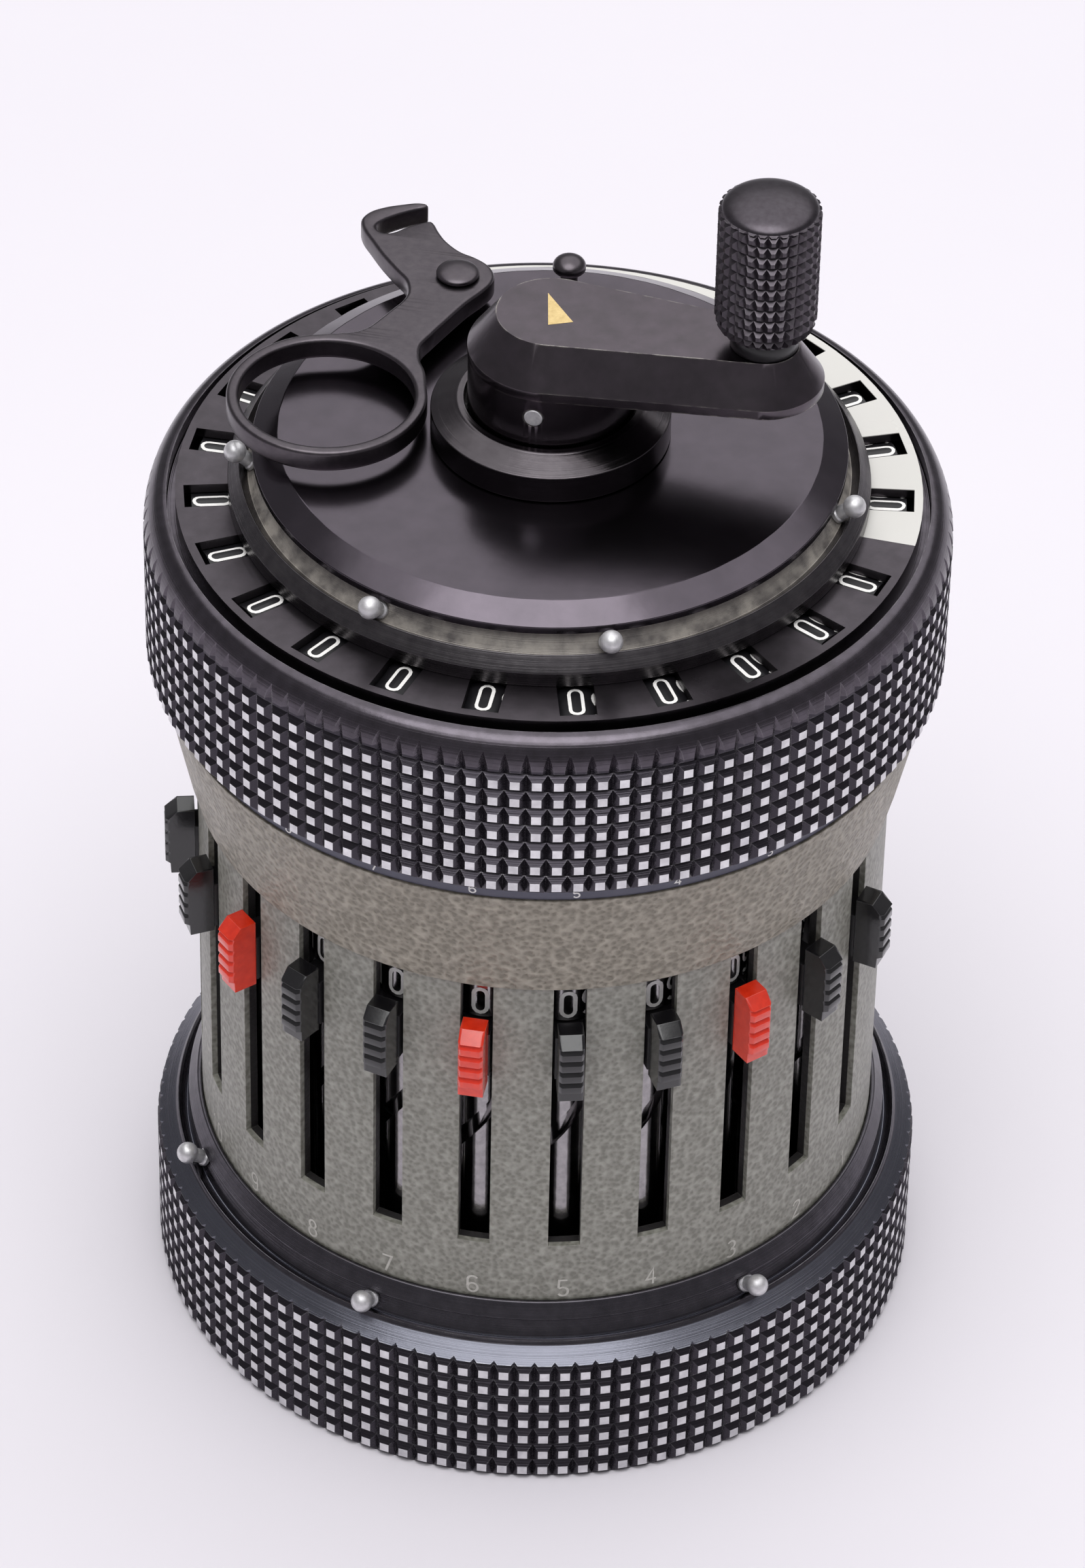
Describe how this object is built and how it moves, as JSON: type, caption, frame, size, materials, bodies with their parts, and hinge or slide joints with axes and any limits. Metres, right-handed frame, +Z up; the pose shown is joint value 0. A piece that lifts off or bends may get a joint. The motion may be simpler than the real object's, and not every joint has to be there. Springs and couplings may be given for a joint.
{
  "type": "mechanical calculator",
  "caption": "Hand-held stepped-drum mechanical calculator: drum-shaped metal body with setting sliders, turning register carriage, folding clearing ring and top crank.",
  "frame": {"origin": "centre of the flat underside, on the crank shaft's axis", "axes": "+Z up along the crank shaft, -Y through the middle setting slider, +X along the resting crank arm"},
  "size_m": [0.065, 0.065, 0.1112],
  "materials": {
    "hammertone": "hammertone satin",
    "crinkle": "crinkle matt",
    "band_blue": "smooth satin",
    "black_metal": "gloss",
    "satin_black": "satin",
    "plate_paint": "satin",
    "bare_aluminium": "satin",
    "steel": "satin",
    "red_plastic": "gloss",
    "black_plastic": "gloss",
    "brass": "satin"
  },
  "bodies": {
    "housing": {"base_ring": "black_metal", "base_plate": "bare_aluminium", "base_screws": "steel", "body_tube": "hammertone", "upper_casing": "crinkle", "position_ring": "band_blue", "lower_bearing_plate": "bare_aluminium", "upper_bearing_plate": "bare_aluminium", "transmission_shafts": "steel", "guide_nut": "steel", "carriage_spring": "steel"},
    "ratchet": {"ratchet_disc": "steel"},
    "crank": {"main_shaft": "steel", "stepped_drum": "bare_aluminium", "crank_arm": "satin_black", "crank_pin": "steel", "grip_spindle": "steel"},
    "grip": {"crank_grip": "black_plastic"},
    "lift_washer": {"thrust_washer": "brass"},
    "carriage": {"carriage_ring": "black_metal", "window_plate": "plate_paint", "marker_ring": "black_metal", "dial_carrier": "bare_aluminium", "number_dials": "black_plastic", "hub_collar": "satin_black"},
    "units_dial": {"counter_units_dial": "black_plastic"},
    "clearing_disc": {"clearing_plate": "satin_black", "lever_rivet": "satin_black", "lever_stop_stud": "satin_black"},
    "clearing_arm": {"clearing_lever": "satin_black"},
    "reverser": {"reversing_lever": "black_plastic"},
    "slider_1": {"setting_slider_1": "black_plastic"},
    "spindle_1": {"setting_spindle_1": "steel"},
    "slider_2": {"setting_slider_2": "black_plastic"},
    "spindle_2": {"setting_spindle_2": "steel"},
    "slider_3": {"setting_slider_3": "red_plastic"},
    "spindle_3": {"setting_spindle_3": "steel"},
    "slider_4": {"setting_slider_4": "black_plastic"},
    "spindle_4": {"setting_spindle_4": "steel"},
    "slider_5": {"setting_slider_5": "black_plastic"},
    "spindle_5": {"setting_spindle_5": "steel"},
    "slider_6": {"setting_slider_6": "red_plastic"},
    "spindle_6": {"setting_spindle_6": "steel"},
    "slider_7": {"setting_slider_7": "black_plastic"},
    "spindle_7": {"setting_spindle_7": "steel"},
    "slider_8": {"setting_slider_8": "black_plastic"},
    "spindle_8": {"setting_spindle_8": "steel"},
    "slider_9": {"setting_slider_9": "red_plastic"},
    "spindle_9": {"setting_spindle_9": "steel"},
    "slider_10": {"setting_slider_10": "black_plastic"},
    "spindle_10": {"setting_spindle_10": "steel"},
    "slider_11": {"setting_slider_11": "black_plastic"},
    "spindle_11": {"setting_spindle_11": "steel"},
    "lower_pin_1": {"base_marker_1": "bare_aluminium"},
    "lower_pin_2": {"base_marker_2": "bare_aluminium"},
    "lower_pin_3": {"base_marker_3": "bare_aluminium"},
    "upper_pin_1": {"top_marker_1": "bare_aluminium"},
    "upper_pin_2": {"top_marker_2": "bare_aluminium"},
    "upper_pin_3": {"top_marker_3": "bare_aluminium"},
    "upper_pin_4": {"top_marker_4": "bare_aluminium"}
  },
  "joints": [
    {"name": "crank_turn", "type": "hinge", "parent": "housing", "child": "ratchet", "pos_m": [0, 0, 0.0109], "axis": [0, 0, 1], "continuous": true},
    {"name": "crank_lift", "type": "slide", "parent": "ratchet", "child": "crank", "axis": [0, 0, 1], "range_m": [0, 0.003]},
    {"name": "grip_turn", "type": "hinge", "parent": "crank", "child": "grip", "pos_m": [0.01689, -0.00065, 0.104], "axis": [0, 0, 1], "continuous": true},
    {"name": "carriage_lift", "type": "slide", "parent": "housing", "child": "lift_washer", "axis": [0, 0, 1], "range_m": [0, 0.003], "stiffness_N_per_m": 800, "springref_m": -0.004, "deforming": ["carriage_spring"]},
    {"name": "carriage_turn", "type": "hinge", "parent": "lift_washer", "child": "carriage", "pos_m": [0, 0, 0.075], "axis": [0, 0, 1], "range_deg": [0, 105]},
    {"name": "units_dial_turn", "type": "hinge", "parent": "carriage", "child": "units_dial", "pos_m": [0, 0, 0.07647], "axis": [-0.3827, 0.9239, 0], "continuous": true},
    {"name": "clearing_turn", "type": "hinge", "parent": "carriage", "child": "clearing_disc", "pos_m": [0, 0, 0.0845], "axis": [0, 0, 1], "continuous": true},
    {"name": "clearing_lever_swing", "type": "hinge", "parent": "clearing_disc", "child": "clearing_arm", "pos_m": [-0.01052, 0.01519, 0.0873], "axis": [0, 0, 1], "range_deg": [-126, 0]},
    {"name": "reverser_slide", "type": "slide", "parent": "housing", "child": "reverser", "axis": [0, 0, -1], "range_m": [0, 0.006]},
    {"name": "slider_1_slide", "type": "slide", "parent": "housing", "child": "slider_1", "axis": [0, 0, -1], "range_m": [0, 0.018]},
    {"name": "spindle_1_turn", "type": "hinge", "parent": "housing", "child": "spindle_1", "pos_m": [0.02337, -0.00626, 0.03], "axis": [0, 0, 1], "range_deg": [0, 325]},
    {"name": "slider_2_slide", "type": "slide", "parent": "housing", "child": "slider_2", "axis": [0, 0, -1], "range_m": [0, 0.018]},
    {"name": "spindle_2_turn", "type": "hinge", "parent": "housing", "child": "spindle_2", "pos_m": [0.02096, -0.0121, 0.03], "axis": [0, 0, 1], "range_deg": [0, 325]},
    {"name": "slider_3_slide", "type": "slide", "parent": "housing", "child": "slider_3", "axis": [0, 0, -1], "range_m": [0, 0.018]},
    {"name": "spindle_3_turn", "type": "hinge", "parent": "housing", "child": "spindle_3", "pos_m": [0.01711, -0.01711, 0.03], "axis": [0, 0, 1], "range_deg": [0, 325]},
    {"name": "slider_4_slide", "type": "slide", "parent": "housing", "child": "slider_4", "axis": [0, 0, -1], "range_m": [0, 0.018]},
    {"name": "spindle_4_turn", "type": "hinge", "parent": "housing", "child": "spindle_4", "pos_m": [0.0121, -0.02096, 0.03], "axis": [0, 0, 1], "range_deg": [0, 325]},
    {"name": "slider_5_slide", "type": "slide", "parent": "housing", "child": "slider_5", "axis": [0, 0, -1], "range_m": [0, 0.018]},
    {"name": "spindle_5_turn", "type": "hinge", "parent": "housing", "child": "spindle_5", "pos_m": [0.00626, -0.02337, 0.03], "axis": [0, 0, 1], "range_deg": [0, 325]},
    {"name": "slider_6_slide", "type": "slide", "parent": "housing", "child": "slider_6", "axis": [0, 0, -1], "range_m": [0, 0.018]},
    {"name": "spindle_6_turn", "type": "hinge", "parent": "housing", "child": "spindle_6", "pos_m": [0, -0.0242, 0.03], "axis": [0, 0, 1], "range_deg": [0, 325]},
    {"name": "slider_7_slide", "type": "slide", "parent": "housing", "child": "slider_7", "axis": [0, 0, -1], "range_m": [0, 0.018]},
    {"name": "spindle_7_turn", "type": "hinge", "parent": "housing", "child": "spindle_7", "pos_m": [-0.00626, -0.02337, 0.03], "axis": [0, 0, 1], "range_deg": [0, 325]},
    {"name": "slider_8_slide", "type": "slide", "parent": "housing", "child": "slider_8", "axis": [0, 0, -1], "range_m": [0, 0.018]},
    {"name": "spindle_8_turn", "type": "hinge", "parent": "housing", "child": "spindle_8", "pos_m": [-0.0121, -0.02096, 0.03], "axis": [0, 0, 1], "range_deg": [0, 325]},
    {"name": "slider_9_slide", "type": "slide", "parent": "housing", "child": "slider_9", "axis": [0, 0, -1], "range_m": [0, 0.018]},
    {"name": "spindle_9_turn", "type": "hinge", "parent": "housing", "child": "spindle_9", "pos_m": [-0.01711, -0.01711, 0.03], "axis": [0, 0, 1], "range_deg": [0, 325]},
    {"name": "slider_10_slide", "type": "slide", "parent": "housing", "child": "slider_10", "axis": [0, 0, -1], "range_m": [0, 0.018]},
    {"name": "spindle_10_turn", "type": "hinge", "parent": "housing", "child": "spindle_10", "pos_m": [-0.02096, -0.0121, 0.03], "axis": [0, 0, 1], "range_deg": [0, 325]},
    {"name": "slider_11_slide", "type": "slide", "parent": "housing", "child": "slider_11", "axis": [0, 0, -1], "range_m": [0, 0.018]},
    {"name": "spindle_11_turn", "type": "hinge", "parent": "housing", "child": "spindle_11", "pos_m": [-0.02337, -0.00626, 0.03], "axis": [0, 0, 1], "range_deg": [0, 325]},
    {"name": "lower_pin_1_move", "type": "hinge", "parent": "housing", "child": "lower_pin_1", "pos_m": [0, 0, 0.016], "axis": [0, 0, 1], "range_deg": [-120, 19.5]},
    {"name": "lower_pin_2_move", "type": "hinge", "parent": "housing", "child": "lower_pin_2", "pos_m": [0, 0, 0.016], "axis": [0, 0, 1], "range_deg": [-19.5, 29]},
    {"name": "lower_pin_3_move", "type": "hinge", "parent": "housing", "child": "lower_pin_3", "pos_m": [0, 0, 0.016], "axis": [0, 0, 1], "range_deg": [-29, 120]},
    {"name": "upper_pin_1_move", "type": "hinge", "parent": "carriage", "child": "upper_pin_1", "pos_m": [0, 0, 0.083], "axis": [0, 0, 1], "range_deg": [-92, 24]},
    {"name": "upper_pin_2_move", "type": "hinge", "parent": "carriage", "child": "upper_pin_2", "pos_m": [0, 0, 0.083], "axis": [0, 0, 1], "range_deg": [-24, 19.5]},
    {"name": "upper_pin_3_move", "type": "hinge", "parent": "carriage", "child": "upper_pin_3", "pos_m": [0, 0, 0.083], "axis": [0, 0, 1], "range_deg": [-19.5, 28]},
    {"name": "upper_pin_4_move", "type": "hinge", "parent": "carriage", "child": "upper_pin_4", "pos_m": [0, 0, 0.083], "axis": [0, 0, 1], "range_deg": [-28, 92]}
  ],
  "couplings": [
    {"joint": "units_dial_turn", "follows": "crank_turn", "ratio": 0.1},
    {"joint": "spindle_1_turn", "follows": "slider_1_slide", "rad_per_m": 314.16},
    {"joint": "spindle_2_turn", "follows": "slider_2_slide", "rad_per_m": 314.16},
    {"joint": "spindle_3_turn", "follows": "slider_3_slide", "rad_per_m": 314.16},
    {"joint": "spindle_4_turn", "follows": "slider_4_slide", "rad_per_m": 314.16},
    {"joint": "spindle_5_turn", "follows": "slider_5_slide", "rad_per_m": 314.16},
    {"joint": "spindle_6_turn", "follows": "slider_6_slide", "rad_per_m": 314.16},
    {"joint": "spindle_7_turn", "follows": "slider_7_slide", "rad_per_m": 314.16},
    {"joint": "spindle_8_turn", "follows": "slider_8_slide", "rad_per_m": 314.16},
    {"joint": "spindle_9_turn", "follows": "slider_9_slide", "rad_per_m": 314.16},
    {"joint": "spindle_10_turn", "follows": "slider_10_slide", "rad_per_m": 314.16},
    {"joint": "spindle_11_turn", "follows": "slider_11_slide", "rad_per_m": 314.16}
  ]
}
